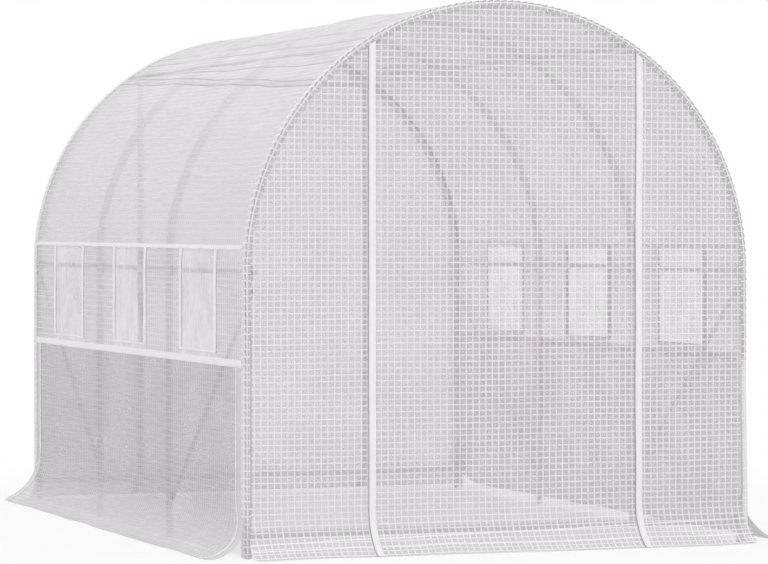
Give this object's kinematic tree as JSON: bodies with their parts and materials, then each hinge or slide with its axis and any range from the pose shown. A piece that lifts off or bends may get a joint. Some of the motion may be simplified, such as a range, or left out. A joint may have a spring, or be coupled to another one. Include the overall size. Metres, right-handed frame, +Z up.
{
  "type": "polytunnel greenhouse",
  "caption": "Walk-in polytunnel greenhouse: steel hoop frame under a reinforced film cover, with zipped roll-up end doors, screened side windows and flared ground skirts.",
  "frame": {"origin": "on the ground, in the middle of the tunnel's plan", "axes": "+X to the right seen from the front, +Y along the tunnel from the front end to the rear, +Z up"},
  "size_m": [2.2994, 3.2022, 2.0421],
  "materials": {
    "steel_tube": "galvanised, dull",
    "cover_film": "milky reinforced film with a woven grid of white threads",
    "white_tape": "sewn white tape",
    "binding": "doubled reinforced film",
    "insect_screen": "fine white net",
    "window_flap": "smooth milky film, creased"
  },
  "bodies": {
    "root": {"left_legs": "steel_tube", "right_legs": "steel_tube", "front_arch": "steel_tube", "front_middle_arch": "steel_tube", "rear_middle_arch": "steel_tube", "rear_arch": "steel_tube", "left_eave_purlin": "steel_tube", "right_eave_purlin": "steel_tube", "left_roof_purlin": "steel_tube", "right_roof_purlin": "steel_tube", "left_braces": "steel_tube", "right_braces": "steel_tube", "front_base_rail": "steel_tube", "rear_base_rail": "steel_tube", "rear_tie_bar": "steel_tube", "roof_sheet": "cover_film", "left_window_wall": "cover_film", "right_window_wall": "cover_film", "left_skirt": "cover_film", "right_skirt": "cover_film", "front_left_panel": "cover_film", "front_door": "cover_film", "front_right_panel": "cover_film", "rear_left_panel": "cover_film", "rear_door": "cover_film", "rear_right_panel": "cover_film", "left_upper_tape": "white_tape", "right_upper_tape": "white_tape", "left_lower_tape": "white_tape", "right_lower_tape": "white_tape", "left_piping": "white_tape", "right_piping": "white_tape", "front_zips": "white_tape", "rear_zips": "white_tape", "left_flap_trims": "white_tape", "right_flap_trims": "white_tape", "front_binding": "binding", "rear_binding": "binding", "left_screens": "insect_screen", "right_screens": "insect_screen", "left_flaps": "window_flap", "right_flaps": "window_flap"}
  },
  "joints": []
}
